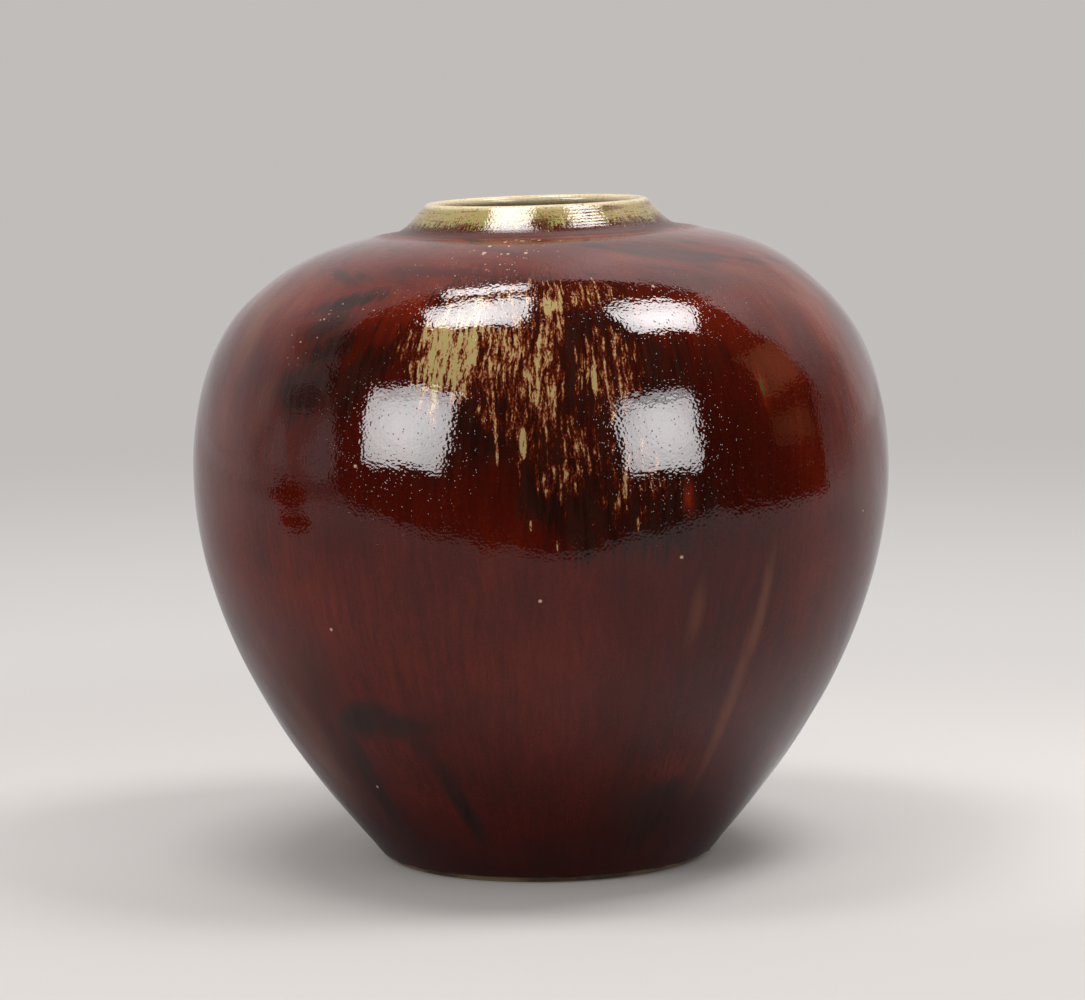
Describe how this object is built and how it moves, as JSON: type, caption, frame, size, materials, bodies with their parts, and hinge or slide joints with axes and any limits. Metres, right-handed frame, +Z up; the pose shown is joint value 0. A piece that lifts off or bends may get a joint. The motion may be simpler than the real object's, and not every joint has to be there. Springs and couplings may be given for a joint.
{
  "type": "floor vase",
  "caption": "Round-shouldered stoneware floor vase with a narrow turned foot, a wide belly and a low collar that leans inwards, glazed copper red with straw-coloured streaks.",
  "frame": {"origin": "centre of the foot, on the surface that the vase stands on", "axes": "+Z up along the axis that the vase was turned about, +Y away from the viewer, +X to the viewer's right, where the collar is a little higher"},
  "size_m": [0.4228, 0.4228, 0.401],
  "materials": {
    "stoneware": "bare fired stoneware, matt",
    "red_glaze": "glossy copper red, streaked",
    "straw_glaze": "glossy straw, thin over the throwing lines",
    "liner_glaze": "glossy dark liner"
  },
  "bodies": {
    "root": {"base_section": "stoneware", "shoulder_section": "stoneware", "neck_collar": "stoneware", "wall_glaze": "red_glaze", "collar_glaze": "straw_glaze", "liner_glaze": "liner_glaze"}
  },
  "joints": []
}
